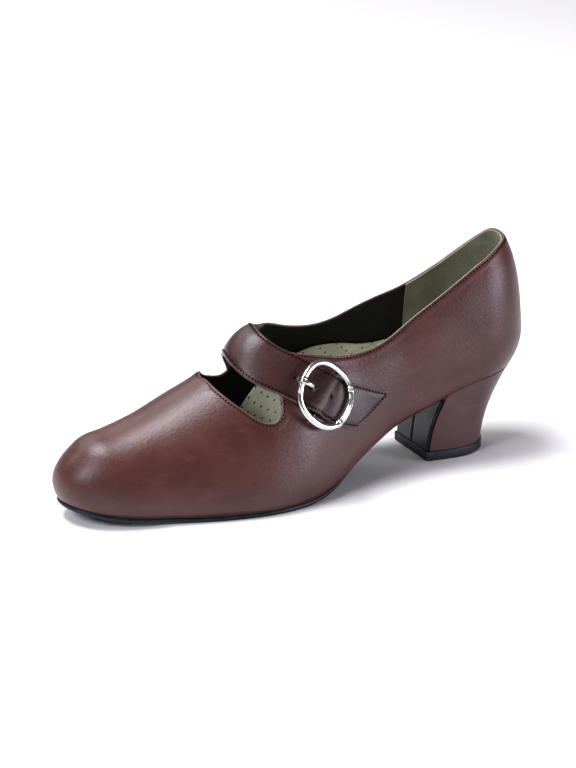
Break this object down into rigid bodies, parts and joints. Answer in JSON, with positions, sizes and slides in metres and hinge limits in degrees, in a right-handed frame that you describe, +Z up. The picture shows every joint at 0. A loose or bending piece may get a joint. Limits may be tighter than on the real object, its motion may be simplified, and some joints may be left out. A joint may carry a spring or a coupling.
{
  "type": "mary jane shoe",
  "caption": "Brown leather mary jane for the left foot with a block heel, an instep strap through an oval metal buckle and a cut-out in front of the strap.",
  "frame": {"origin": "on the ground under the middle of the upper's length and width", "axes": "toe towards -X, heel towards +X, outer side with the buckle towards -Y, inner side towards +Y, +Z up"},
  "size_m": [0.2542, 0.0842, 0.1116],
  "materials": {
    "upper": "smooth, semi-gloss",
    "strap": "smooth, semi-gloss",
    "buckle_frame": "polished",
    "buckle_prong": "polished",
    "insole": "matt suede",
    "outsole": "black, satin",
    "heel_block": "smooth, semi-gloss",
    "breast_cover": "satin",
    "top_lift": "matt black"
  },
  "bodies": {
    "root": {"upper": "upper", "strap": "strap", "buckle_frame": "buckle_frame", "buckle_prong": "buckle_prong", "insole": "insole", "outsole": "outsole", "heel_block": "heel_block", "breast_cover": "breast_cover", "top_lift": "top_lift"}
  },
  "joints": []
}
